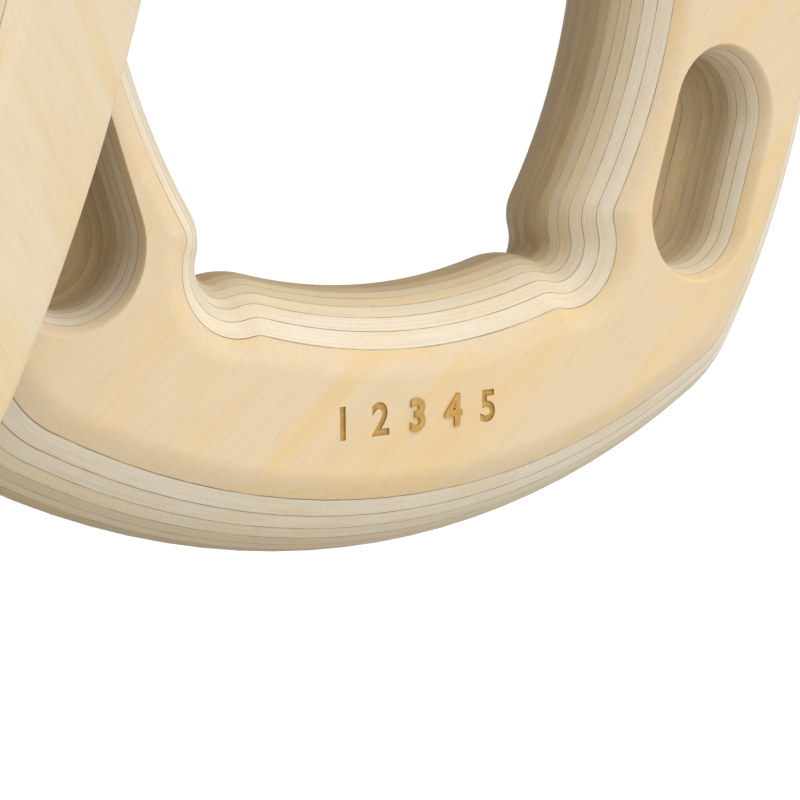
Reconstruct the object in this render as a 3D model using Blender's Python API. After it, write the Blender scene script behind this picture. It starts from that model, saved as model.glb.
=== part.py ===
"""A pair of five-sided hanging grip rings, each laminated from thin wood plies.

Metres, +Z up. The origin is the cord seat of ring A: the top of its opening, halfway through the board.
Ring A hangs upright and faces -Y. Ring B hangs beside it, leaning and swivelled so that its back shows.
"""

import math

import bmesh
import bpy
from mathutils import Euler, Vector

# Board
PLY_COUNT = 17
PLY_PITCH = 0.0020
GLUE_GAP = 0.0003
SIDES = 5

# Opening: five bowed grips, with a small round ear in each corner and a soft bump beside each ear
OPENING_REACH = 0.05535
OPENING_REACH_FOOT = 0.05758
OPENING_BOW = 0.1101
EAR_FROM_SIDE = 0.0037
EAR_FROM_FOOT = 0.0059
EAR_RADIUS = 0.0026
BUMP_FACE_RADIUS = 0.0008

# Outer wall: five bowed sides with round corners. The foot rail is narrower than the others
RAIL_WIDTH = 0.0598
FOOT_RAIL_WIDTH = 0.0484
OUTER_BOW = 0.1650
OUTER_CORNER = 0.0290

# Rounding: how far each wall stands back at the faces, and how far its rounding would still run beyond them
OPENING_DRAW_BACK = 0.0109
OPENING_DRAW_BACK_FOOT = 0.0141
OPENING_OVERRUN = 0.0030
OUTER_DRAW_BACK = 0.0152
OUTER_OVERRUN = 0.0061

# Finger pockets, one on each lower side, cut in from the front, with a rim that flares mostly outward
POCKET_SIDES = (1, 4)
POCKET_FROM_OPENING = 0.0244
POCKET_TOWARD_FOOT = 0.0123
POCKET_WIDTH = 0.0220
POCKET_LENGTH = 0.0420
POCKET_PLIES = 8
POCKET_RIM = 0.0090
POCKET_RIM_GROWTH = 0.0028
POCKET_RIM_LEAN = 0.7
POCKET_RIM_OVERRUN = 0.0030
LEAST_LAND = 0.0006

# Where ring B hangs beside ring A, and how it leans, rolls and is swivelled from it
RING_B_ASIDE = -0.1668
RING_B_DROP = 0.0009
RING_CLEARANCE = 0.0016
RING_B_LEAN = math.radians(16.4)
RING_B_ROLL = math.radians(-3.9)
RING_B_SWIVEL = math.radians(214.3)

# Straight runs that stand for each arc
OUTER_STEPS = 5
GRIP_STEPS = 3
CORNER_STEPS = 2
BUMP_STEPS = 2
EAR_STEPS = 4
POCKET_END_STEPS = 4

# Wood colours: face veneer, plies with the grain along, plies with the grain across
FACE_COLOUR = (0.80, 0.66, 0.45, 1.0)
LONG_COLOUR = (0.76, 0.66, 0.50, 1.0)
CROSS_COLOUR = (0.62, 0.50, 0.35, 1.0)
WOOD_ROUGHNESS = 0.62

THICKNESS = PLY_COUNT * PLY_PITCH - GLUE_GAP
HALF_THICKNESS = THICKNESS / 2
PLY_THICKNESS = PLY_PITCH - GLUE_GAP
CORNER_TURN = math.pi / SIDES
SEAT_HEIGHT = (OPENING_REACH - EAR_FROM_SIDE) / math.cos(CORNER_TURN) + EAR_RADIUS
POCKET_REACH = OPENING_REACH + POCKET_FROM_OPENING
RING_B_TURNS = Euler((RING_B_LEAN, RING_B_ROLL, RING_B_SWIVEL), "YZX")


def side_turn(side):
    """Angle of a side's outward direction. Side 0 is the foot, and the rest follow anticlockwise."""
    return 2 * math.pi * side / SIDES - math.pi / 2


def opening_reach(side):
    return OPENING_REACH_FOOT if side % SIDES == 0 else OPENING_REACH


def opening_draw_back(side):
    return OPENING_DRAW_BACK_FOOT if side % SIDES == 0 else OPENING_DRAW_BACK


def ear_reach(side):
    """How far the ears' middles are from the ring's, measured square to a side."""
    return opening_reach(side) - (EAR_FROM_FOOT if side % SIDES == 0 else EAR_FROM_SIDE)


def outer_reach(side):
    return opening_reach(side) + (FOOT_RAIL_WIDTH if side == 0 else RAIL_WIDTH)


def polar(angle, distance):
    return (distance * math.cos(angle), distance * math.sin(angle))


def direction(start, end):
    return math.atan2(end[1] - start[1], end[0] - start[0])


def circles_meet(first, first_radius, second, second_radius, side_sign):
    """Where two circles cross, on the left of the line between their centres for side_sign 1."""
    gap = math.dist(first, second)
    along = (gap**2 + first_radius**2 - second_radius**2) / (2 * gap)
    across = side_sign * math.sqrt(max(first_radius**2 - along**2, 0.0))
    turn = direction(first, second)
    return (
        first[0] + along * math.cos(turn) - across * math.sin(turn),
        first[1] + along * math.sin(turn) + across * math.cos(turn),
    )


def arc(centre, radius, start, end, steps):
    """Points of an arc, without its last one. It runs the short way from start to end."""
    sweep = (end - start + math.pi) % (2 * math.pi) - math.pi
    points = []
    for step in range(steps):
        angle = start + sweep * step / steps
        points.append((centre[0] + radius * math.cos(angle), centre[1] + radius * math.sin(angle)))
    return points


def fall(height, whole, overrun):
    """Share of a rounding reached at a height: 0 where it starts, 1 at the whole height, along an ellipse."""
    ellipse = whole + overrun

    def drop(rise):
        return 1 - math.sqrt(1 - (rise / ellipse) ** 2)

    return drop(height) / drop(whole)


def ear_middle(side):
    """Middle of the ear between a side and the next one, a set way in from both."""
    here = ear_reach(side)
    along = (ear_reach(side + 1) - here * math.cos(2 * CORNER_TURN)) / math.sin(2 * CORNER_TURN)
    outward = polar(side_turn(side), here)
    beside = polar(side_turn(side) + math.pi / 2, along)
    return (outward[0] + beside[0], outward[1] + beside[1])


def draw_share(depth, overrun):
    """How much of its full draw-back a wall has at a depth: nothing at mid board, all of it at the faces."""
    return fall(HALF_THICKNESS - depth, HALF_THICKNESS, overrun)


def outer_outline(depth):
    """The ring's outer edge at a depth, anticlockwise from the foot's first corner."""
    back = OUTER_DRAW_BACK * draw_share(depth, OUTER_OVERRUN)
    bows = [polar(side_turn(side), outer_reach(side) - OUTER_BOW) for side in range(SIDES)]
    corners = []
    for side in range(SIDES):
        radius = OUTER_BOW - OUTER_CORNER
        corners.append(circles_meet(bows[side], radius, bows[(side + 1) % SIDES], radius, 1))
    points = []
    for side in range(SIDES):
        before = corners[side - 1]
        after = corners[side]
        start = direction(bows[side], before)
        end = direction(bows[side], after)
        leave = direction(bows[(side + 1) % SIDES], after)
        points += arc(bows[side], OUTER_BOW - back, start, end, OUTER_STEPS)
        points += arc(after, OUTER_CORNER - back, end, leave, CORNER_STEPS)
    return points


def opening_outline(depth):
    """The opening's edge at a depth, anticlockwise from the foot's first ear."""
    share = draw_share(depth, OPENING_OVERRUN)
    points = []
    for side in range(SIDES):
        turn = side_turn(side)
        full = opening_draw_back(side)
        grip = OPENING_BOW + share * full
        bump = (1 - share) * full + BUMP_FACE_RADIUS
        radius_before = EAR_RADIUS + share * (full + opening_draw_back(side - 1)) / 2
        radius_after = EAR_RADIUS + share * (full + opening_draw_back(side + 1)) / 2
        bow = polar(turn, opening_reach(side) - OPENING_BOW)
        ear_before = ear_middle(side - 1)
        ear_after = ear_middle(side)
        bump_before = circles_meet(bow, grip + bump, ear_before, radius_before + bump, 1)
        bump_after = circles_meet(bow, grip + bump, ear_after, radius_after + bump, -1)
        leave_ear = direction(ear_before, bump_before)
        enter_ear = direction(ear_after, bump_after)
        points += arc(ear_before, radius_before, turn - CORNER_TURN, leave_ear, EAR_STEPS // 2)
        points += arc(bump_before, bump, leave_ear + math.pi, direction(bump_before, bow), BUMP_STEPS)
        points += arc(bow, grip, direction(bow, bump_before), direction(bow, bump_after), GRIP_STEPS)
        points += arc(bump_after, bump, direction(bump_after, bow), enter_ear + math.pi, BUMP_STEPS)
        points += arc(ear_after, radius_after, enter_ear, turn + CORNER_TURN, EAR_STEPS // 2)
    return points


def rim_growth(depth):
    """How much wider than its wall a pocket is at a depth, limited by the wood on both sides of it."""
    reach = POCKET_TOWARD_FOOT + (POCKET_LENGTH - POCKET_WIDTH) / 2
    bow_falls = reach**2 / (2 * OUTER_BOW)
    inner_land = POCKET_FROM_OPENING - POCKET_WIDTH / 2 - OPENING_DRAW_BACK - LEAST_LAND
    outer_edge = RAIL_WIDTH - OUTER_DRAW_BACK - bow_falls
    outer_land = outer_edge - POCKET_FROM_OPENING - POCKET_WIDTH / 2 - LEAST_LAND
    room = min(inner_land / (1 - POCKET_RIM_LEAN), outer_land / (1 + POCKET_RIM_LEAN))
    growth = min(POCKET_RIM_GROWTH, max(room, 0.0))
    return growth * fall(max(POCKET_RIM - depth, 0.0), POCKET_RIM, POCKET_RIM_OVERRUN)


def pocket_outline(side, depth):
    """A pocket's edge at a depth: two half circles joined by straight walls along the side."""
    turn = side_turn(side)
    toward_foot = -1 if side < SIDES / 2 else 1
    growth = rim_growth(depth)
    radius = POCKET_WIDTH / 2 + growth
    outward = polar(turn, POCKET_REACH + POCKET_RIM_LEAN * growth)
    shift = polar(turn + toward_foot * math.pi / 2, POCKET_TOWARD_FOOT)
    middle = (outward[0] + shift[0], outward[1] + shift[1])
    reach = (POCKET_LENGTH - POCKET_WIDTH) / 2
    points = []
    for sign in (1, -1):
        along = turn + sign * math.pi / 2
        centre = (middle[0] + reach * math.cos(along), middle[1] + reach * math.sin(along))
        for step in range(POCKET_END_STEPS + 1):
            angle = along - math.pi / 2 + math.pi * step / POCKET_END_STEPS
            points.append((centre[0] + radius * math.cos(angle), centre[1] + radius * math.sin(angle)))
    return points


def ply_outlines(index, depth):
    """Every closed edge of a ply at a depth: the outer edge first, then its holes."""
    outlines = [outer_outline(depth), opening_outline(depth)]
    if index < POCKET_PLIES:
        outlines += [pocket_outline(side, depth) for side in POCKET_SIDES]
    return outlines


def add_loop(mesh, points, height):
    """Adds a closed loop of edges at a height behind the ply's front and returns the edges."""
    corners = [mesh.verts.new((x, height, z)) for x, z in points]
    return [mesh.edges.new((corners[i - 1], corners[i])) for i in range(len(corners))]


def ply_mesh(index):
    """One ply: flat front and back, and edges that lean to follow the rounded walls."""
    front = index * PLY_PITCH
    mesh = bmesh.new()
    sheets = []
    for height in (0.0, PLY_THICKNESS):
        loops = [add_loop(mesh, points, height) for points in ply_outlines(index, front + height)]
        sheets.append(loops)
    for near, far in zip(*sheets):
        bmesh.ops.bridge_loops(mesh, edges=near + far)
    for loops in sheets:
        edges = [edge for loop in loops for edge in loop]
        bmesh.ops.triangle_fill(mesh, use_beauty=True, use_dissolve=False, edges=edges)
    bmesh.ops.recalc_face_normals(mesh, faces=mesh.faces)
    data = bpy.data.meshes.new(f"ply_{index + 1:02d}")
    mesh.to_mesh(data)
    mesh.free()
    data.materials.append(wood(index))
    data.shade_smooth()
    data.set_sharp_from_angle(angle=math.radians(30))
    return data


def wood(index):
    """The finish of one ply. The grain turns by a quarter from each ply to the next."""
    name = "long_grain" if index % 2 == 0 else "cross_grain"
    colour = LONG_COLOUR if index % 2 == 0 else CROSS_COLOUR
    if index in (0, PLY_COUNT - 1):
        name = "face_veneer"
        colour = FACE_COLOUR
    material = bpy.data.materials.new(f"{name}_{index + 1:02d}")
    material.use_nodes = True
    shader = material.node_tree.nodes["Principled BSDF"]
    shader.inputs["Base Color"].default_value = colour
    shader.inputs["Roughness"].default_value = WOOD_ROUGHNESS
    shader.inputs["Metallic"].default_value = 0.0
    return material


def ring_b_middle():
    """Ring B's middle, so far in front of ring A that its nearest edge keeps the clearance."""
    nearest = 0.0
    for index in range(PLY_COUNT + 1):
        depth = index * PLY_PITCH
        for x, z in outer_outline(depth):
            edge = RING_B_TURNS.to_matrix() @ Vector((x, depth - HALF_THICKNESS, z))
            nearest = max(nearest, edge.y)
    return (RING_B_ASIDE, -(nearest + HALF_THICKNESS + RING_CLEARANCE), -SEAT_HEIGHT - RING_B_DROP)


def build_ring(name, plies, middle, turns):
    """Stacks the plies of one ring, front to back, about an empty on its swivel axis."""
    holder = bpy.data.objects.new(f"{name}_middle", None)
    holder.location = middle
    holder.rotation_mode = turns.order
    holder.rotation_euler = turns
    bpy.context.scene.collection.objects.link(holder)
    for index, data in enumerate(plies):
        ply = bpy.data.objects.new(f"{name}_ply_{index + 1:02d}", data)
        ply.parent = holder
        ply.location = (0.0, index * PLY_PITCH - HALF_THICKNESS, 0.0)
        bpy.context.scene.collection.objects.link(ply)


def clear_scene():
    for old in list(bpy.data.objects):
        bpy.data.objects.remove(old, do_unlink=True)


def main():
    clear_scene()
    plies = [ply_mesh(index) for index in range(PLY_COUNT)]
    build_ring("ring_a", plies, (0.0, 0.0, -SEAT_HEIGHT), Euler())
    build_ring("ring_b", plies, ring_b_middle(), RING_B_TURNS)


main()
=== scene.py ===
"""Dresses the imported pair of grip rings: smooth plies, glue lines, birch finishes, a studio and a camera.

Metres, +Z up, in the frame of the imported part. Each ply of the frame is replaced by a finely rounded one.
"""

import logging
import math
from dataclasses import dataclass, field
from enum import Enum

import bmesh
import bpy
from mathutils import Euler, Matrix, Vector

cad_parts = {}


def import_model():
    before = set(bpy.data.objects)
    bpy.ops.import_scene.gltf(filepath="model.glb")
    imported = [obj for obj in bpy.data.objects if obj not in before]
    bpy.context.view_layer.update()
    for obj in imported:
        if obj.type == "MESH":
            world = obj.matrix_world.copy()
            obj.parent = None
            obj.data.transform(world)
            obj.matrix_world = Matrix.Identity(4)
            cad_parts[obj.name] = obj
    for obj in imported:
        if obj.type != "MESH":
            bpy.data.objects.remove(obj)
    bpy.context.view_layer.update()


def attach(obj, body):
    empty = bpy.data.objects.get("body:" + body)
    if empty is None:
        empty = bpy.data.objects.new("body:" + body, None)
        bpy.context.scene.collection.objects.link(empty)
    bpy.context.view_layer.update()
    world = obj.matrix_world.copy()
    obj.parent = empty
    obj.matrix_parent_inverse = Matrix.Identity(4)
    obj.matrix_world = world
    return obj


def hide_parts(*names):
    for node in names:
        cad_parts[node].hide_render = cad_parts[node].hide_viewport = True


LOG = logging.getLogger("grip_rings")
WELD = 2e-6
NUDGE = 1e-5
Point = tuple[float, float]
Span = tuple[float, float]
Triple = tuple[float, float, float]
Colour = tuple[float, float, float]
Loop = list[bmesh.types.BMEdge]
Socket = bpy.types.NodeSocket

# The Mix node's sockets by number, because those for numbers and for colours share their names.
MIX_FACTOR = 0
MIX_NUMBERS = (2, 3)
MIX_NUMBER_RESULT = 0
MIX_COLOURS = (6, 7)
MIX_COLOUR_RESULT = 2


class Grain(Enum):
    """Which way the fibres of a ply run, as a turn from the face veneer's fibres."""

    LONG = 0.0
    CROSS = math.pi / 2


class Tone(Enum):
    """The shade of a ply's wood, as a linear colour. Honey and straw are the face veneers'."""

    HONEY = (0.555, 0.438, 0.285)
    STRAW = (0.600, 0.500, 0.350)
    WHITE = (0.600, 0.528, 0.408)
    CREAM = (0.575, 0.492, 0.356)
    SAND = (0.520, 0.427, 0.285)
    TAN = (0.425, 0.325, 0.194)
    BROWN = (0.375, 0.276, 0.152)


class Wall(Enum):
    """The rounded walls of a ring."""

    OUTER = "outer"
    OPENING = "opening"
    POCKET = "pocket"


class Ring(Enum):
    """The two rings of the pair, by the name of the body each one is."""

    A = "ring_a"
    B = "ring_b"


def shade(colour: Colour, factor: float) -> Colour:
    """A colour made paler or darker by a factor, and no brighter than white."""
    return tuple(min(1.0, part * factor) for part in colour)


def polar(angle: float, distance: float) -> Point:
    """The point at a distance from the ring's middle in a direction."""
    return (distance * math.cos(angle), distance * math.sin(angle))


def direction(start: Point, end: Point) -> float:
    """The angle of the line from start to end."""
    return math.atan2(end[1] - start[1], end[0] - start[0])


def circles_meet(
    first: Point, first_radius: float, second: Point, second_radius: float, side_sign: int
) -> Point:
    """Where two circles cross.

    Args:
        first: Centre of the first circle.
        first_radius: Its radius.
        second: Centre of the second circle.
        second_radius: Its radius.
        side_sign: 1 for the crossing on the left of the line between the centres, -1 for the other.

    Returns:
        The crossing point.
    """
    gap = math.dist(first, second)
    along = (gap**2 + first_radius**2 - second_radius**2) / (2 * gap)
    across = side_sign * math.sqrt(max(first_radius**2 - along**2, 0.0))
    turn = direction(first, second)
    return (
        first[0] + along * math.cos(turn) - across * math.sin(turn),
        first[1] + along * math.sin(turn) + across * math.cos(turn),
    )


def fall(height: float, whole: float, overrun: float) -> float:
    """The share of a rounding that is reached at a height, along an ellipse.

    Args:
        height: The height above the place where the rounding starts.
        whole: The height at which the share is 1.
        overrun: How far past that height the ellipse would go on.

    Returns:
        The share, 0 where the rounding starts.
    """
    ellipse = whole + overrun
    drops = [1 - math.sqrt(1 - (rise / ellipse) ** 2) for rise in (height, whole)]
    return drops[0] / drops[1]


def put(name: str, data: bpy.types.ID) -> bpy.types.Object:
    """Puts an object in the scene.

    Args:
        name: The object's name.
        data: Its mesh, text or camera.

    Returns:
        The object.
    """
    made = bpy.data.objects.new(name, data)
    bpy.context.scene.collection.objects.link(made)
    return made


def settled_mesh(piece: bpy.types.Object) -> bpy.types.Mesh:
    """A new mesh of an object as it stands, its modifiers applied."""
    bpy.context.view_layer.update()
    return bpy.data.meshes.new_from_object(piece.evaluated_get(bpy.context.evaluated_depsgraph_get()))


@dataclass(frozen=True)
class Arc:
    """One round stretch of an outline, in the plane of the ring."""

    centre: Point
    radius: float
    start: float
    end: float
    steps: int

    def sweep(self) -> float:
        """The angle that the arc turns through, the short way round."""
        return (self.end - self.start + math.pi) % (2 * math.pi) - math.pi

    def draw(self, mesh: bmesh.types.BMesh, depth: float) -> None:
        """Spins one vertex about the arc's centre.

        Args:
            mesh: The mesh that receives the arc's edges.
            depth: The arc's place behind the front face.
        """
        x, z = polar(self.start, self.radius)
        corner = mesh.verts.new((self.centre[0] + x, depth, self.centre[1] + z))
        bmesh.ops.spin(
            mesh,
            geom=[corner],
            cent=(self.centre[0], depth, self.centre[1]),
            axis=(0.0, -1.0, 0.0),
            angle=self.sweep(),
            steps=self.steps,
            use_merge=False,
            use_duplicate=False,
        )


@dataclass(frozen=True)
class BoardSizes:
    """The sizes of one laminated ring, the same as in the part's source but for the pocket floor's round."""

    ply_count: int = 17
    ply_pitch: float = 0.0020
    glue_gap: float = 0.0003
    sides: int = 5
    opening_reach: float = 0.05535
    opening_reach_foot: float = 0.05758
    opening_bow: float = 0.1101
    ear_from_side: float = 0.0037
    ear_from_foot: float = 0.0059
    ear_radius: float = 0.0026
    bump_face_radius: float = 0.0008
    rail_width: float = 0.0598
    foot_rail_width: float = 0.0484
    outer_bow: float = 0.1650
    outer_corner: float = 0.0290
    opening_draw_back: float = 0.0109
    opening_draw_back_foot: float = 0.0141
    opening_overrun: float = 0.0030
    outer_draw_back: float = 0.0152
    outer_overrun: float = 0.0061
    pocket_sides: tuple[int, int] = (1, 4)
    pocket_from_opening: float = 0.0244
    pocket_toward_foot: float = 0.0123
    pocket_width: float = 0.0220
    pocket_length: float = 0.0420
    pocket_plies: int = 8
    pocket_rim: float = 0.0090
    pocket_rim_growth: float = 0.0028
    pocket_rim_lean: float = 0.7
    pocket_rim_overrun: float = 0.0030
    pocket_floor_round: float = 0.0050

    @property
    def thickness(self) -> float:
        """Front face to back face."""
        return self.ply_count * self.ply_pitch - self.glue_gap

    @property
    def corner_turn(self) -> float:
        """Half the angle that one side takes up."""
        return math.pi / self.sides

    @property
    def seat_height(self) -> float:
        """From the ring's middle up to the cord seat, which is the frame's origin."""
        return (self.opening_reach - self.ear_from_side) / math.cos(self.corner_turn) + self.ear_radius

    @property
    def pocket_depth(self) -> float:
        """Front face to the rear of the last ply that a pocket goes through."""
        return self.pocket_plies * self.ply_pitch - self.glue_gap

    def full_back(self, wall: Wall) -> float:
        """How far a wall stands back at the face, or how much wider a pocket is there.

        Args:
            wall: The wall.

        Returns:
            The distance.
        """
        backs = {
            Wall.OUTER: self.outer_draw_back,
            Wall.OPENING: self.opening_draw_back,
            Wall.POCKET: self.pocket_rim_growth,
        }
        return backs[wall]


@dataclass(frozen=True)
class Fineness:
    """How many straight runs stand for each round stretch of the visible rings."""

    bow: int = 22
    corner: int = 12
    grip: int = 20
    bump: int = 10
    ear_half: int = 12
    pocket_quarter: int = 12
    ply_levels: int = 3
    pocket_levels: int = 7
    face_blend: int = 6


@dataclass(frozen=True)
class FaceTurn:
    """How softly a face turns into a wall: its reach on the flat, and its reach down the wall."""

    on_face: float
    on_wall: float


@dataclass(frozen=True)
class Place:
    """One place down a wall: its depth behind the front face, and its share of the full rounding."""

    depth: float
    share: float


@dataclass(frozen=True)
class Edge:
    """One closed edge of a ply: the wall it belongs to, and a pocket's side."""

    wall: Wall
    side: int = 0


@dataclass(frozen=True)
class RingShape:
    """The outlines of a ring at any depth."""

    sizes: BoardSizes = field(default_factory=BoardSizes)
    fineness: Fineness = field(default_factory=Fineness)
    outer_turn: FaceTurn = FaceTurn(0.0016, 0.0034)
    opening_turn: FaceTurn = FaceTurn(0.0015, 0.0036)
    pocket_turn: FaceTurn = FaceTurn(0.0004, 0.0022)
    least_bump: float = 0.0003

    def is_foot(self, side: int) -> bool:
        """Whether a side is the foot. Sides are counted round, so the one before the foot is -1 or 4."""
        return side % self.sizes.sides == 0

    def side_turn(self, side: int) -> float:
        """Outward direction of a side. Side 0 is the foot."""
        return 2 * math.pi * side / self.sizes.sides - math.pi / 2

    def opening_reach(self, side: int) -> float:
        """From the ring's middle to the middle of one of the opening's sides."""
        return self.sizes.opening_reach_foot if self.is_foot(side) else self.sizes.opening_reach

    def outer_reach(self, side: int) -> float:
        """From the ring's middle to the middle of one outer side."""
        rail = self.sizes.foot_rail_width if self.is_foot(side) else self.sizes.rail_width
        return self.opening_reach(side) + rail

    def ear_reach(self, side: int) -> float:
        """How far the ears' middles are from the ring's, measured square to a side."""
        inset = self.sizes.ear_from_foot if self.is_foot(side) else self.sizes.ear_from_side
        return self.opening_reach(side) - inset

    def opening_back(self, side: int) -> float:
        """How far one of the opening's walls stands back at the face."""
        return self.sizes.opening_draw_back_foot if self.is_foot(side) else self.sizes.opening_draw_back

    def ear_middle(self, side: int) -> Point:
        """Middle of the ear between a side and the next one, a set way in from both.

        Args:
            side: The side before the ear.

        Returns:
            The ear's middle.
        """
        here, turn, corner = self.ear_reach(side), self.side_turn(side), 2 * self.sizes.corner_turn
        along = (self.ear_reach(side + 1) - here * math.cos(corner)) / math.sin(corner)
        outward, beside = polar(turn, here), polar(turn + math.pi / 2, along)
        return (outward[0] + beside[0], outward[1] + beside[1])

    def floor_round(self, depth: float) -> float:
        """How far a pocket's wall has come in at a depth, on its way round into the floor.

        Args:
            depth: The depth behind the front face.

        Returns:
            The distance, 0 above the round.
        """
        radius = self.sizes.pocket_floor_round
        past = min(max(depth - self.sizes.pocket_depth + radius, 0.0), radius)
        return radius - math.sqrt(radius**2 - past**2)

    def share(self, wall: Wall, depth: float) -> float:
        """How much of its full rounding a wall has at a depth.

        Args:
            wall: The wall.
            depth: The depth behind the front face.

        Returns:
            The share, 1 at the face, and below 0 where a pocket's floor comes in.
        """
        sizes = self.sizes
        half = sizes.thickness / 2
        if wall is Wall.POCKET:
            rim = fall(max(sizes.pocket_rim - depth, 0.0), sizes.pocket_rim, sizes.pocket_rim_overrun)
            return rim - self.floor_round(depth) / sizes.pocket_rim_growth
        overrun = sizes.outer_overrun if wall is Wall.OUTER else sizes.opening_overrun
        return fall(abs(half - depth), half, overrun)

    def slope(self, wall: Wall, depth: float) -> float:
        """How fast a wall's share falls with depth."""
        return (self.share(wall, depth) - self.share(wall, depth + NUDGE)) / NUDGE

    def outer(self, share: float) -> list[Arc]:
        """The outer edge: a bow for each side and a round corner between bows.

        Args:
            share: Its share of the full rounding.

        Returns:
            The arcs, in order round the ring.
        """
        sizes, fine = self.sizes, self.fineness
        back = sizes.outer_draw_back * share
        reaches = [self.outer_reach(side) - sizes.outer_bow for side in range(sizes.sides)]
        bows = [polar(self.side_turn(side), reach) for side, reach in enumerate(reaches)]
        following = bows[1:] + bows[:1]
        inner = sizes.outer_bow - sizes.outer_corner
        corners = [circles_meet(bow, inner, other, inner, 1) for bow, other in zip(bows, following)]
        arcs = []
        for side, bow in enumerate(bows):
            before, after = corners[side - 1], corners[side]
            end, leave = direction(bow, after), direction(following[side], after)
            arcs.append(Arc(bow, sizes.outer_bow - back, direction(bow, before), end, fine.bow))
            arcs.append(Arc(after, sizes.outer_corner - back, end, leave, fine.corner))
        return arcs

    def opening(self, share: float) -> list[Arc]:
        """The opening's edge: for each side half an ear, a bump, the bowed grip, a bump and half an ear.

        Args:
            share: Its share of the full rounding.

        Returns:
            The arcs, in order round the opening.
        """
        sizes, fine = self.sizes, self.fineness
        arcs = []
        for side in range(sizes.sides):
            turn = self.side_turn(side)
            full = self.opening_back(side)
            grip = sizes.opening_bow + share * full
            bump = max((1 - share) * full + sizes.bump_face_radius, self.least_bump)
            bow = polar(turn, self.opening_reach(side) - sizes.opening_bow)
            ears = [self.ear_middle(side - 1), self.ear_middle(side)]
            growths = [share * (full + self.opening_back(side + sign)) / 2 for sign in (-1, 1)]
            radii = [sizes.ear_radius + growth for growth in growths]
            first = circles_meet(bow, grip + bump, ears[0], radii[0] + bump, 1)
            last = circles_meet(bow, grip + bump, ears[1], radii[1] + bump, -1)
            leave, enter = direction(ears[0], first), direction(ears[1], last)
            arcs += [
                Arc(ears[0], radii[0], turn - sizes.corner_turn, leave, fine.ear_half),
                Arc(first, bump, leave + math.pi, direction(first, bow), fine.bump),
                Arc(bow, grip, direction(bow, first), direction(bow, last), fine.grip),
                Arc(last, bump, direction(last, bow), enter + math.pi, fine.bump),
                Arc(ears[1], radii[1], enter, turn + sizes.corner_turn, fine.ear_half),
            ]
        return arcs

    def pocket(self, side: int, share: float) -> list[Arc]:
        """A finger pocket's two round ends, each in two quarters. Its straight walls join them.

        Args:
            side: The side that the pocket is in.
            share: Its share of the full widening.

        Returns:
            The four arcs, in order.
        """
        sizes = self.sizes
        turn = self.side_turn(side)
        quarter = math.pi / 2
        toward_foot = -quarter if side < sizes.sides / 2 else quarter
        growth = sizes.pocket_rim_growth * share
        lean = sizes.pocket_rim_lean * max(growth, 0.0)
        outward = polar(turn, sizes.opening_reach + sizes.pocket_from_opening + lean)
        shift = polar(turn + toward_foot, sizes.pocket_toward_foot)
        reach = (sizes.pocket_length - sizes.pocket_width) / 2
        radius = sizes.pocket_width / 2 + growth
        arcs = []
        for along in (turn + quarter, turn - quarter):
            x, z = polar(along, reach)
            centre = (outward[0] + shift[0] + x, outward[1] + shift[1] + z)
            arcs.append(Arc(centre, radius, along - quarter, along, self.fineness.pocket_quarter))
            arcs.append(Arc(centre, radius, along, along + quarter, self.fineness.pocket_quarter))
        return arcs

    def edges(self, index: int) -> list[Edge]:
        """Every closed edge of a ply.

        Args:
            index: The ply, from the front.

        Returns:
            The outer edge, the opening's and those of any pockets.
        """
        closed = [Edge(Wall.OUTER), Edge(Wall.OPENING)]
        if index < self.sizes.pocket_plies:
            closed += [Edge(Wall.POCKET, side) for side in self.sizes.pocket_sides]
        return closed

    def arcs(self, edge: Edge, share: float) -> list[Arc]:
        """An edge's arcs.

        Args:
            edge: The edge.
            share: Its share of the full rounding.

        Returns:
            The arcs, in order.
        """
        if edge.wall is Wall.OUTER:
            return self.outer(share)
        if edge.wall is Wall.OPENING:
            return self.opening(share)
        return self.pocket(edge.side, share)

    def face_turn(self, wall: Wall) -> list[Place]:
        """The soft turn from the front face into a wall, on a quadratic curve.

        Args:
            wall: The wall.

        Returns:
            The places from the flat inwards.
        """
        turns = {
            Wall.OUTER: self.outer_turn,
            Wall.OPENING: self.opening_turn,
            Wall.POCKET: self.pocket_turn,
        }
        turn, full = turns[wall], self.sizes.full_back(wall)
        drop = turn.on_wall / math.hypot(1.0, full * self.slope(wall, 0.0))
        end = self.share(wall, drop)
        corner = end + self.slope(wall, drop) * drop
        start = corner + turn.on_face / full
        places = []
        for step in range(self.fineness.face_blend + 1):
            u = step / self.fineness.face_blend
            weights = ((1 - u) ** 2, 2 * u * (1 - u), u**2)
            share = weights[0] * start + weights[1] * corner + weights[2] * end
            places.append(Place(weights[2] * drop, share))
        return places

    def wall_places(self, wall: Wall, front: float, rear: float) -> list[Place]:
        """The places down a wall between two depths, with the turn at a face that it reaches.

        Args:
            wall: The wall.
            front: Depth of the sheet's front, 0 at the board's front face.
            rear: Depth of the sheet's rear, the thickness at the board's back face.

        Returns:
            The places, front to rear.
        """
        thickness = self.sizes.thickness
        count = self.fineness.pocket_levels if wall is Wall.POCKET else self.fineness.ply_levels
        turn = self.face_turn(wall)
        head, tail = [], []
        if front <= 0.0:
            head, front = turn[:-1], turn[-1].depth
        if rear >= thickness:
            tail = [Place(thickness - place.depth, place.share) for place in reversed(turn[:-1])]
            rear = thickness - turn[-1].depth
        depths = [front + (rear - front) * step / count for step in range(count + 1)]
        return head + [Place(depth, self.share(wall, depth)) for depth in depths] + tail


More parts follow.
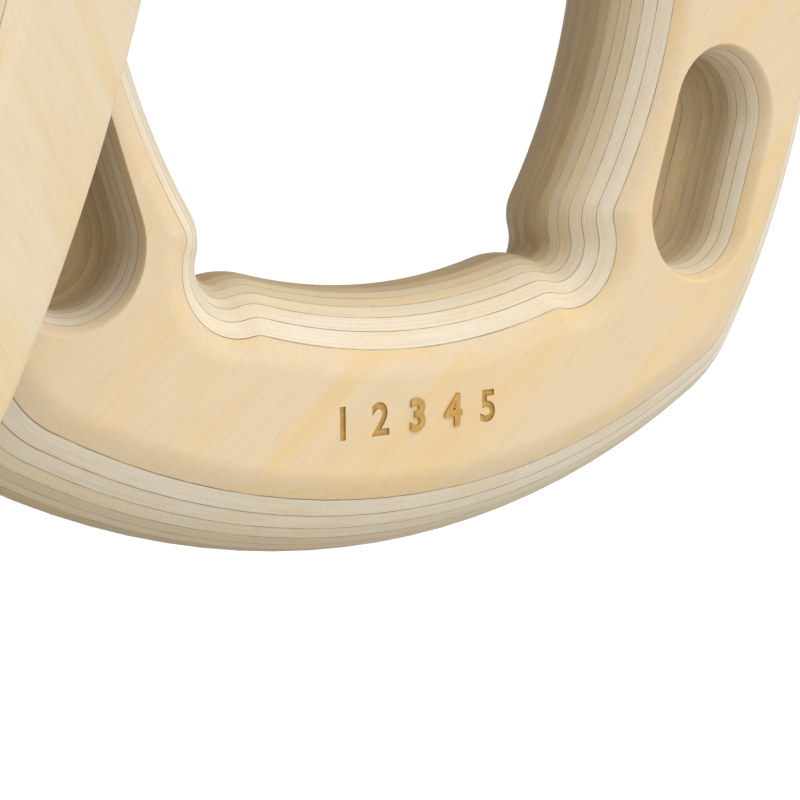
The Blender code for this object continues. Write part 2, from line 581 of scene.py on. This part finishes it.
@dataclass
class SheetMaker:
    """Makes the plies and glue films as meshes about the ring's middle, each one once."""

    shape: RingShape = field(default_factory=RingShape)
    glue_film: float = 0.00013
    made: dict[str, bpy.types.Mesh] = field(default_factory=dict)

    def draw_edge(self, mesh: bmesh.types.BMesh, arcs: list[Arc], depth: float, straight: bool) -> Loop:
        """Draws one closed edge.

        Args:
            mesh: The mesh that receives it.
            arcs: Its arcs, in order.
            depth: Its place behind the front face.
            straight: Whether straight walls join the second arc to the third and the last to the first.

        Returns:
            The loop's edges.
        """
        pad = bmesh.new()
        ends = []
        for arc in arcs:
            first = len(pad.verts)
            arc.draw(pad, depth)
            pad.verts.ensure_lookup_table()
            ends.append((pad.verts[first], pad.verts[-1]))
        if straight:
            pad.edges.new((ends[1][1], ends[2][0]))
            pad.edges.new((ends[3][1], ends[0][0]))
        bmesh.ops.remove_doubles(pad, verts=pad.verts, dist=WELD)
        drawn = bpy.data.meshes.new("pad")
        pad.to_mesh(drawn)
        pad.free()
        count = len(mesh.edges)
        mesh.from_mesh(drawn)
        bpy.data.meshes.remove(drawn)
        mesh.edges.ensure_lookup_table()
        return mesh.edges[count:]

    def sheet(self, name: str, index: int, front: float, rear: float) -> bpy.types.Mesh:
        """A closed sheet with flat front and rear, and walls between them.

        Args:
            name: The mesh's name.
            index: The ply that the sheet follows, from the front.
            front: Depth of its front.
            rear: Depth of its rear.

        Returns:
            The mesh, about the ring's middle.
        """
        if name in self.made:
            return self.made[name]
        mesh = bmesh.new()
        walls: list[list[Loop]] = []
        for edge in self.shape.edges(index):
            straight = edge.wall is Wall.POCKET
            places = self.shape.wall_places(edge.wall, front, rear)
            walls.append(
                [self.draw_edge(mesh, self.shape.arcs(edge, p.share), p.depth, straight) for p in places]
            )
        for loops in walls:
            for near, far in zip(loops, loops[1:]):
                bmesh.ops.bridge_loops(mesh, edges=near + far)
        rims = [[edge for loops in walls for edge in loops[end]] for end in (0, -1)]
        for face in mesh.faces:
            face.smooth = True
        for rim in rims:
            bmesh.ops.triangle_fill(mesh, use_beauty=True, use_dissolve=False, edges=rim)
            for side in rim:
                side.smooth = False
        bmesh.ops.recalc_face_normals(mesh, faces=mesh.faces)
        bmesh.ops.translate(mesh, vec=(0.0, -self.shape.sizes.thickness / 2, 0.0), verts=mesh.verts)
        data = bpy.data.meshes.new(name)
        mesh.to_mesh(data)
        mesh.free()
        self.made[name] = data
        return data

    def ply(self, index: int) -> bpy.types.Mesh:
        """A ply. Each glued side stands past CAD's, so that a film's thickness is left between two plies.

        Args:
            index: The ply, from the front.

        Returns:
            Its mesh.
        """
        sizes = self.shape.sizes
        inset = (sizes.glue_gap - self.glue_film) / 2
        front = index * sizes.ply_pitch - inset if index else 0.0
        last = index == sizes.ply_count - 1
        rear = sizes.thickness if last else (index + 1) * sizes.ply_pitch - sizes.glue_gap + inset
        return self.sheet(f"ply_{index + 1:02d}", index, front, rear)

    def glue(self, index: int) -> bpy.types.Mesh:
        """The glue film behind a ply.

        Args:
            index: The ply, from the front.

        Returns:
            The film's mesh.
        """
        sizes, half = self.shape.sizes, self.glue_film / 2
        middle = (index + 1) * sizes.ply_pitch - sizes.glue_gap / 2
        return self.sheet(f"glue_{index + 1:02d}", index, middle - half, middle + half)

    def clear(self) -> None:
        """Deletes the made meshes once the pieces have their copies."""
        for spare in self.made.values():
            bpy.data.meshes.remove(spare)
        self.made.clear()


@dataclass(frozen=True)
class Pattern:
    """A noise pattern: its waves a metre along each axis, its levels of detail and how rough they are."""

    waves: Triple
    detail: float
    roughness: float


@dataclass(frozen=True)
class Relief:
    """How a pattern raises a surface: by how many metres, and how strongly."""

    height: float
    strength: float


@dataclass(frozen=True)
class NodeBench:
    """A node tree with short ways to add and join nodes."""

    tree: bpy.types.NodeTree

    def add(self, kind: str, **settings: object) -> bpy.types.Node:
        """Adds a node.

        Args:
            kind: The node's type name.
            **settings: Its properties by name.

        Returns:
            The new node.
        """
        node = self.tree.nodes.new(kind)
        for name, value in settings.items():
            setattr(node, name, value)
        return node

    def join(self, start: Socket, end: Socket) -> None:
        """Links an output to an input."""
        self.tree.links.new(start, end)

    def feed(self, value: Socket | Colour | float, end: Socket) -> None:
        """Gives an input its value.

        Args:
            value: An output to link, or else a colour or a number to set.
            end: The input.
        """
        if isinstance(value, Socket):
            self.join(value, end)
        elif isinstance(value, tuple):
            end.default_value = (*value, 1.0)
        else:
            end.default_value = value

    def own_space(self, place: Socket, middle: Triple, turns: Euler) -> Socket:
        """Turns Object coordinates into a ring's own space.

        Args:
            place: The Object coordinates.
            middle: The ring's middle.
            turns: The turns of the ring's space.

        Returns:
            The coordinates in that space.
        """
        node = self.add("ShaderNodeMapping", vector_type="TEXTURE")
        node.inputs["Location"].default_value = middle
        node.inputs["Rotation"].default_value = turns
        self.join(place, node.inputs["Vector"])
        return node.outputs["Vector"]

    def noise(self, place: Socket, pattern: Pattern) -> Socket:
        """A noise pattern's value at a place.

        Args:
            place: The place's coordinates, in metres.
            pattern: The pattern.

        Returns:
            The value, from 0 to 1.
        """
        waves = self.add("ShaderNodeMapping", vector_type="POINT")
        waves.inputs["Scale"].default_value = pattern.waves
        self.join(place, waves.inputs["Vector"])
        node = self.add("ShaderNodeTexNoise")
        node.inputs["Scale"].default_value = 1.0
        node.inputs["Detail"].default_value = pattern.detail
        node.inputs["Roughness"].default_value = pattern.roughness
        self.join(waves.outputs["Vector"], node.inputs["Vector"])
        return node.outputs["Fac"]

    def dot(self, vector: Socket, axis: Vector) -> Socket:
        """The dot product of a vector and a fixed axis.

        Args:
            vector: The vector.
            axis: The axis.

        Returns:
            The product.
        """
        node = self.add("ShaderNodeVectorMath", operation="DOT_PRODUCT")
        node.inputs[1].default_value = axis
        self.join(vector, node.inputs[0])
        return node.outputs["Value"]

    def span(self, value: Socket, reach: Span, gives: Span) -> Socket:
        """Maps a value smoothly from one range to another.

        Args:
            value: The value.
            reach: The range that it comes from.
            gives: What the ends of that range become.

        Returns:
            The mapped value.
        """
        node = self.add("ShaderNodeMapRange", interpolation_type="SMOOTHSTEP")
        for name, number in zip(("From Min", "From Max", "To Min", "To Max"), (*reach, *gives)):
            node.inputs[name].default_value = number
        self.join(value, node.inputs["Value"])
        return node.outputs["Result"]

    def blend(self, factor: Socket, first: Socket | Colour, second: Socket | Colour) -> Socket:
        """Mixes two colours.

        Args:
            factor: How much of the second colour shows.
            first: A colour, or a socket that gives one.
            second: The same.

        Returns:
            The mixed colour.
        """
        node = self.add("ShaderNodeMix", data_type="RGBA")
        self.join(factor, node.inputs[MIX_FACTOR])
        for number, value in zip(MIX_COLOURS, (first, second)):
            self.feed(value, node.inputs[number])
        return node.outputs[MIX_COLOUR_RESULT]

    def raised(self, height: Socket, relief: Relief) -> Socket:
        """Raises the surface by a height map.

        Args:
            height: The height map, from 0 to 1.
            relief: How far and how strongly it raises the surface.

        Returns:
            The raised surface's normal.
        """
        node = self.add("ShaderNodeBump")
        node.inputs["Distance"].default_value = relief.height
        node.inputs["Strength"].default_value = relief.strength
        self.join(height, node.inputs["Height"])
        return node.outputs["Normal"]

    def coat(self, colour: Socket, normal: Socket, roughness: Socket | float, mirror: float) -> None:
        """Sets up the material's shader.

        Args:
            colour: The surface's colour.
            normal: The surface's normal, with its relief.
            roughness: How rough the surface is.
            mirror: How much it mirrors.
        """
        shader = self.tree.nodes["Principled BSDF"]
        self.join(colour, shader.inputs["Base Color"])
        self.join(normal, shader.inputs["Normal"])
        self.feed(roughness, shader.inputs["Roughness"])
        self.feed(mirror, shader.inputs["Specular IOR Level"])


def new_material(name: str) -> tuple[bpy.types.Material, NodeBench]:
    """Starts a material.

    Args:
        name: Its name.

    Returns:
        The material, and a bench for its nodes.
    """
    made = bpy.data.materials.new(name)
    made.use_nodes = True
    return made, NodeBench(made.node_tree)


@dataclass(frozen=True)
class Placement:
    """Where a ring's middle is, and how the ring is turned."""

    middle: Triple = (0.0, 0.0, 0.0)
    turns: Euler = field(default_factory=Euler)

    def matrix(self) -> Matrix:
        """From the ring's own space to the frame."""
        return Matrix.Translation(self.middle) @ self.turns.to_matrix().to_4x4()

    def grain_turns(self, angle: float) -> Euler:
        """The ring's turns with its X axis laid along a grain at an angle in the ring's plane."""
        return (self.turns.to_matrix() @ Matrix.Rotation(-angle, 3, "Y")).to_euler("XYZ")

    def grain_axis(self, angle: float) -> Vector:
        """The direction in the frame of a grain at an angle in the ring's plane."""
        return self.turns.to_matrix() @ Vector((math.cos(angle), 0.0, math.sin(angle)))


@dataclass(frozen=True)
class BirchFinish:
    """Sanded birch: soft figure, golden streaks along the grain, short fibres, and darker end grain."""

    colour: Colour
    grain_angle: float = math.radians(39.0)
    figure: Pattern = Pattern((8.0, 300.0, 80.0), 4.0, 0.55)
    golden: Colour = (0.600, 0.420, 0.180)
    golden_reach: Span = (0.45, 0.62)
    golden_share: float = 0.55
    streaks: Pattern = Pattern((28.0, 500.0, 330.0), 3.0, 0.6)
    pale_factor: float = 1.07
    pale_reach: Span = (0.35, 0.62)
    pale_share: float = 0.30
    fibres: Pattern = Pattern((90.0, 2200.0, 2600.0), 2.0, 0.6)
    dark_factor: float = 0.74
    fibre_reach: Span = (0.30, 0.52)
    fibre_share: float = 0.22
    layers: Pattern = Pattern((22.0, 3400.0, 22.0), 2.0, 0.65)
    layer_reach: Span = (0.34, 0.60)
    layer_share: float = 0.30
    end_grain_factor: float = 0.5
    end_grain_reach: Span = (0.35, 1.0)
    end_grain_share: float = 0.20
    relief: Relief = Relief(0.00006, 0.6)
    rough_reach: Span = (0.3, 0.7)
    roughness: Span = (0.56, 0.68)
    mirror: float = 0.30

    def end_grain(self, bench: NodeBench, normal: Socket, axis: Vector) -> Socket:
        """How much a place is darkened because it shows the fibres' ends.

        Args:
            bench: The material's bench.
            normal: The surface's normal.
            axis: The direction of the fibres.

        Returns:
            The darkening.
        """
        size = bench.add("ShaderNodeMath", operation="ABSOLUTE")
        bench.join(bench.dot(normal, axis), size.inputs[0])
        return bench.span(size.outputs[0], self.end_grain_reach, (0.0, self.end_grain_share))

    def material(self, name: str, placement: Placement, grain: Grain) -> bpy.types.Material:
        """Builds the finish.

        Args:
            name: The material's name.
            placement: The ring whose space the grain runs in.
            grain: Which way this ply's fibres run.

        Returns:
            The material.
        """
        made, bench = new_material(name)
        angle = self.grain_angle + grain.value
        where = bench.add("ShaderNodeTexCoord")
        turns = placement.grain_turns(angle)
        place = bench.own_space(where.outputs["Object"], placement.middle, turns)
        figure, streaks = bench.noise(place, self.figure), bench.noise(place, self.streaks)
        fibres, layers = bench.noise(place, self.fibres), bench.noise(place, self.layers)
        dark = shade(self.colour, self.dark_factor)
        golden = bench.span(figure, self.golden_reach, (0.0, self.golden_share))
        pale = bench.span(streaks, self.pale_reach, (self.pale_share, 0.0))
        fibre = bench.span(fibres, self.fibre_reach, (self.fibre_share, 0.0))
        layer = bench.span(layers, self.layer_reach, (self.layer_share, 0.0))
        end = self.end_grain(bench, where.outputs["Normal"], placement.grain_axis(angle))
        colour = bench.blend(golden, self.colour, self.golden)
        colour = bench.blend(pale, colour, shade(self.colour, self.pale_factor))
        colour = bench.blend(fibre, colour, dark)
        colour = bench.blend(layer, colour, dark)
        colour = bench.blend(end, colour, shade(self.colour, self.end_grain_factor))
        rough = bench.span(figure, self.rough_reach, self.roughness)
        bench.coat(colour, bench.raised(fibres, self.relief), rough, self.mirror)
        return made


@dataclass(frozen=True)
class GlueFinish:
    """Thin brown glue between two plies, here and there paler where it was sanded through."""

    colour: Colour = (0.250, 0.180, 0.110)
    pale: Colour = (0.430, 0.330, 0.210)
    patches: Pattern = Pattern((160.0, 160.0, 160.0), 3.0, 0.6)
    pale_reach: Span = (0.35, 0.70)
    relief: Relief = Relief(0.00003, 0.4)
    roughness: float = 0.55
    mirror: float = 0.30

    def material(self, name: str, placement: Placement) -> bpy.types.Material:
        """Builds the finish.

        Args:
            name: The material's name.
            placement: The ring that the glue is in.

        Returns:
            The material.
        """
        made, bench = new_material(name)
        where = bench.add("ShaderNodeTexCoord")
        place = bench.own_space(where.outputs["Object"], placement.middle, Euler())
        patches = bench.noise(place, self.patches)
        colour = bench.blend(bench.span(patches, self.pale_reach, (0.0, 1.0)), self.colour, self.pale)
        bench.coat(colour, bench.raised(patches, self.relief), self.roughness, self.mirror)
        return made


@dataclass(frozen=True)
class BurntFinish:
    """The floor of an engraved mark: browned by the cutter, unevenly."""

    colour: Colour = (0.395, 0.220, 0.055)
    pale: Colour = (0.470, 0.280, 0.085)
    patches: Pattern = Pattern((700.0, 700.0, 700.0), 3.0, 0.6)
    pale_reach: Span = (0.40, 0.66)
    relief: Relief = Relief(0.00004, 0.5)
    roughness: float = 0.6
    mirror: float = 0.2

    def material(self, name: str) -> bpy.types.Material:
        """Builds the finish.

        Args:
            name: The material's name.

        Returns:
            The material.
        """
        made, bench = new_material(name)
        where = bench.add("ShaderNodeTexCoord")
        patches = bench.noise(where.outputs["Object"], self.patches)
        colour = bench.blend(bench.span(patches, self.pale_reach, (0.0, 1.0)), self.colour, self.pale)
        bench.coat(colour, bench.raised(patches, self.relief), self.roughness, self.mirror)
        return made


@dataclass(frozen=True)
class StudioFinish:
    """Matt white paper for the floor, with a faint tooth, and a painted shadow that makes it greyer under
    the rings.
    """

    colour: Colour = (0.95, 0.95, 0.945)
    painted_shadow_grey: Colour = (0.46, 0.46, 0.455)
    painted_shadow_reach: Span = (0.62, 0.98)
    tooth: Pattern = Pattern((900.0, 900.0, 900.0), 2.0, 0.5)
    relief: Relief = Relief(0.0001, 0.3)
    roughness: float = 0.9
    mirror: float = 0.1

    def material(self, name: str) -> bpy.types.Material:
        """Builds the finish.

        Args:
            name: The material's name.

        Returns:
            The material.
        """
        made, bench = new_material(name)
        where = bench.add("ShaderNodeTexCoord")
        away = bench.add("ShaderNodeVectorMath", operation="LENGTH")
        bench.join(where.outputs["Object"], away.inputs[0])
        # Painted shadow: the paper turns grey near the floor's middle, under the rings.
        near = bench.span(away.outputs["Value"], self.painted_shadow_reach, (1.0, 0.0))
        tooth = bench.noise(where.outputs["Object"], self.tooth)
        colour = bench.blend(near, self.colour, self.painted_shadow_grey)
        bench.coat(colour, bench.raised(tooth, self.relief), self.roughness, self.mirror)
        return made


@dataclass(frozen=True)
class Marks:
    """A row of plain digits engraved in the flat strip of the foot."""

    digits: str = "1  2  3  4  5"
    middle: Point = (-0.0009, -0.0796)
    width: float = 0.0356
    height: float = 0.0061
    depth: float = 0.0004
    weight: float = 0.030
    curve_runs: int = 6
    raw_depth: float = 1.0

    def cutter(self, placement: Placement, face_depth: float) -> bpy.types.Object:
        """The digits as solid letters that stand across the face.

        Args:
            placement: The ring that is engraved.
            face_depth: How far the face is in front of the ring's middle.

        Returns:
            The cutter, in the frame.
        """
        text = bpy.data.curves.new("marks_text", "FONT")
        text.body = self.digits
        text.offset = self.weight
        text.resolution_u = self.curve_runs
        text.extrude = self.raw_depth
        holder = put("marks_text", text)
        data = settled_mesh(holder)
        bpy.data.objects.remove(holder, do_unlink=True)
        low = Vector([min(vert.co[axis] for vert in data.vertices) for axis in range(3)])
        high = Vector([max(vert.co[axis] for vert in data.vertices) for axis in range(3)])
        centre, span = (low + high) / 2, high - low
        size = Matrix.Diagonal((self.width / span.x, self.height / span.y, 2 * self.depth / span.z, 1.0))
        upright = Matrix.Rotation(math.pi / 2, 4, "X")
        spot = Matrix.Translation((self.middle[0], -face_depth, self.middle[1]))
        data.transform(placement.matrix() @ spot @ upright @ size @ Matrix.Translation(-centre))
        mesh = bmesh.new()
        mesh.from_mesh(data)
        bmesh.ops.remove_doubles(mesh, verts=mesh.verts, dist=WELD)
        bmesh.ops.recalc_face_normals(mesh, faces=mesh.faces)
        mesh.to_mesh(data)
        mesh.free()
        return put("marks_cutter", data)

    def engrave(self, piece: bpy.types.Object, placement: Placement, face_depth: float) -> None:
        """Cuts the digits into a piece and browns their floors.

        Args:
            piece: The piece, with its own finish already on.
            placement: The ring that it belongs to.
            face_depth: How far the face is in front of the ring's middle.
        """
        cutter = self.cutter(placement, face_depth)
        cutter.data.materials.append(BurntFinish().material("engraved_brown"))
        cut = piece.modifiers.new("engraving", "BOOLEAN")
        cut.operation = "DIFFERENCE"
        cut.solver = "EXACT"
        cut.material_mode = "TRANSFER"
        cut.object = cutter
        engraved = settled_mesh(piece)
        piece.modifiers.clear()
        plain = piece.data
        engraved.name = f"{plain.name}_engraved"
        piece.data = engraved
        bpy.data.meshes.remove(plain)
        bpy.data.objects.remove(cutter, do_unlink=True)
        LOG.info("%s engraved: %d faces", piece.name, len(engraved.polygons))


@dataclass
class LaminatedRing:
    """One ring: its plies, and the glue lines between them."""

    ring: Ring
    placement: Placement
    maker: SheetMaker
    veneer: Tone
    marks: Marks | None = None
    core_golden_share: float = 0.30
    # Plies differ in tone. The darker middle plies, and the brown plies 8 and 9 at the pockets' deep walls
    # and floors, are partly painted shade in those recesses.
    core_tones_and_shade: tuple[Tone, ...] = (
        Tone.WHITE,
        Tone.WHITE,
        Tone.CREAM,
        Tone.SAND,
        Tone.SAND,
        Tone.TAN,
        Tone.BROWN,
        Tone.BROWN,
        Tone.TAN,
        Tone.BROWN,
        Tone.TAN,
        Tone.BROWN,
        Tone.TAN,
        Tone.SAND,
        Tone.CREAM,
    )

    def tone(self, index: int) -> Tone:
        """The shade of a core ply. The first core ply lies behind the front veneer."""
        return self.core_tones_and_shade[index - 1]

    def grain(self, index: int) -> Grain:
        """The fibres turn by a quarter from each ply to the next."""
        return Grain.LONG if index % 2 == 0 else Grain.CROSS

    def place(
        self, name: str, shape: bpy.types.Mesh, finish: bpy.types.Material, slot: str
    ) -> bpy.types.Object:
        """Makes a piece of a mesh, on the ring's body.

        Args:
            name: The piece's name.
            shape: Its mesh, about the ring's middle.
            finish: Its material.
            slot: A material slot's name, which is not used.

        Returns:
            The piece.
        """
        data = shape.copy()
        data.name = name
        data.transform(self.placement.matrix())
        data.materials.append(finish)
        piece = put(name, data)
        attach(piece, self.ring.value)
        LOG.info("%s: %d faces", name, len(data.polygons))
        return piece

    def face_finish(self) -> bpy.types.Material:
        """The finish of both face veneers, which show neither layers nor end grain."""
        face = BirchFinish(self.veneer.value, end_grain_share=0.0, layer_share=0.0)
        return face.material(f"{self.ring.value}_face_birch", self.placement, Grain.LONG)

    def core_finish(self, tone: Tone, grain: Grain) -> bpy.types.Material:
        """The finish of core plies.

        Args:
            tone: Their shade.
            grain: Which way their fibres run.

        Returns:
            The material.
        """
        label = f"{self.ring.value}_{tone.name.lower()}_{grain.name.lower()}_birch"
        wood = BirchFinish(tone.value, golden_share=self.core_golden_share)
        return wood.material(label, self.placement, grain)

    def build_plies(self) -> None:
        """Builds every ply in place of the frame's."""
        sizes = self.maker.shape.sizes
        finishes: dict[tuple[Tone, Grain], bpy.types.Material] = {}
        veneer = self.face_finish()
        for index in range(sizes.ply_count):
            grain = self.grain(index)
            finish, slot = veneer, "face_veneer"
            if 0 < index < sizes.ply_count - 1:
                kind = (self.tone(index), grain)
                if kind not in finishes:
                    finishes[kind] = self.core_finish(*kind)
                finish = finishes[kind]
                slot = "long_grain_ply" if grain is Grain.LONG else "cross_grain_ply"
            name = f"{self.ring.value}_sheet_{index + 1:02d}"
            piece = self.place(name, self.maker.ply(index), finish, slot)
            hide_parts(f"{self.ring.value}_ply_{index + 1:02d}")
            if index == 0 and self.marks:
                self.marks.engrave(piece, self.placement, sizes.thickness / 2)

    def build_glue(self) -> None:
        """Builds the glue line behind each ply but the last."""
        finish = GlueFinish().material(f"{self.ring.value}_glue", self.placement)
        for index in range(self.maker.shape.sizes.ply_count - 1):
            name = f"{self.ring.value}_glue_{index + 1:02d}"
            self.place(name, self.maker.glue(index), finish, "glue_line")


@dataclass
class RingPair:
    """Both rings as they hang: A upright, and B beside it, turned so that its back shows."""

    maker: SheetMaker = field(default_factory=SheetMaker)
    beside: Triple = (-0.1668, -0.093993, -0.0009)
    beside_degrees: Triple = (16.4, -3.9, 214.3)
    beside_order: str = "YZX"

    def rings(self) -> list[LaminatedRing]:
        """Both rings, each at its place.

        Returns:
            Ring A, which has the marks, and ring B.
        """
        seat = self.maker.shape.sizes.seat_height
        across, forward, up = self.beside
        turns = Euler([math.radians(turn) for turn in self.beside_degrees], self.beside_order)
        upright = Placement((0.0, 0.0, -seat), Euler())
        turned = Placement((across, forward, up - seat), turns)
        return [
            LaminatedRing(Ring.A, upright, self.maker, Tone.HONEY, Marks()),
            LaminatedRing(Ring.B, turned, self.maker, Tone.STRAW),
        ]

    def build(self) -> None:
        """Builds every piece of both rings."""
        for ring in self.rings():
            ring.build_plies()
            ring.build_glue()
        self.maker.clear()


@dataclass(frozen=True)
class Studio:
    """A white floor, a soft white surround that is brighter at the front right, and the camera."""

    floor_height: float = -0.62
    floor_reach: float = 14.0
    floor_parts: int = 8
    surround: float = 0.36
    lobe: float = 2.20
    lobe_from: Triple = (0.32, -0.67, 0.67)
    lobe_cosines: Span = (0.3, 1.0)
    backdrop: float = 1.02
    backdrop_cosines: Span = (0.86, 0.93)
    lens: float = 93.911
    sensor: float = 36.0
    clip: Span = (0.01, 100.0)
    camera_place: Triple = (-0.232644, -0.303271, -0.087592)
    camera_right: Triple = (0.78318, -0.62179, -0.00230)
    camera_up: Triple = (0.09507, 0.11608, 0.98868)

    def build_floor(self) -> None:
        """Lays the floor."""
        mesh = bmesh.new()
        parts = self.floor_parts
        bmesh.ops.create_grid(mesh, x_segments=parts, y_segments=parts, size=self.floor_reach)
        bmesh.ops.translate(mesh, vec=(0.0, 0.0, self.floor_height), verts=mesh.verts)
        data = bpy.data.meshes.new("studio_floor")
        mesh.to_mesh(data)
        mesh.free()
        data.materials.append(StudioFinish().material("studio_paper"))
        floor = put("studio_floor", data)
        LOG.info("%s: %d faces", floor.name, len(data.polygons))

    def sky_share(self, bench: NodeBench, toward: Vector, cosines: Span) -> Socket:
        """How near a direction of the surround is to a given one.

        Args:
            bench: The surround's bench.
            toward: The given direction.
            cosines: The cosines at which the share is 0 and 1.

        Returns:
            The share.
        """
        where = bench.add("ShaderNodeTexCoord")
        near = bench.dot(where.outputs["Generated"], toward.normalized())
        return bench.span(near, cosines, (0.0, 1.0))

    def build_world(self) -> None:
        """Surrounds the studio with soft light, white behind the rings and brightest at the front right."""
        world = bpy.data.worlds.new("studio_light")
        world.use_nodes = True
        bench = NodeBench(world.node_tree)
        right, up = Vector(self.camera_right), Vector(self.camera_up)
        backdrop = self.sky_share(bench, up.cross(right), self.backdrop_cosines)
        lobe = self.sky_share(bench, Vector(self.lobe_from), self.lobe_cosines)
        shine = bench.add("ShaderNodeMath", operation="MULTIPLY_ADD")
        for value, end in zip((lobe, self.lobe, self.surround), shine.inputs):
            bench.feed(value, end)
        strength = bench.add("ShaderNodeMix")
        bench.join(backdrop, strength.inputs[MIX_FACTOR])
        for number, value in zip(MIX_NUMBERS, (shine.outputs[0], self.backdrop)):
            bench.feed(value, strength.inputs[number])
        sky = world.node_tree.nodes["Background"]
        bench.feed((1.0, 1.0, 1.0), sky.inputs["Color"])
        bench.join(strength.outputs[MIX_NUMBER_RESULT], sky.inputs["Strength"])
        bpy.context.scene.world = world
        bpy.context.scene.view_settings.view_transform = "Standard"

    def build_camera(self) -> None:
        """Places the camera where the photograph was taken from."""
        camera = bpy.data.cameras.new("studio_camera")
        camera.lens = self.lens
        camera.sensor_width = self.sensor
        camera.clip_start, camera.clip_end = self.clip
        holder = put("studio_camera", camera)
        right, up = Vector(self.camera_right), Vector(self.camera_up)
        turn = Matrix((right, up, right.cross(up))).transposed()
        holder.matrix_world = Matrix.Translation(self.camera_place) @ turn.to_4x4()
        bpy.context.scene.camera = holder

    def build(self) -> None:
        """Builds the whole studio."""
        self.build_floor()
        self.build_world()
        self.build_camera()


def main() -> None:
    """Loads the frame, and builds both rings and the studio."""
    logging.basicConfig(level=logging.INFO, format="%(message)s")
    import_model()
    RingPair().build()
    Studio().build()


if __name__ == "__main__":
    main()
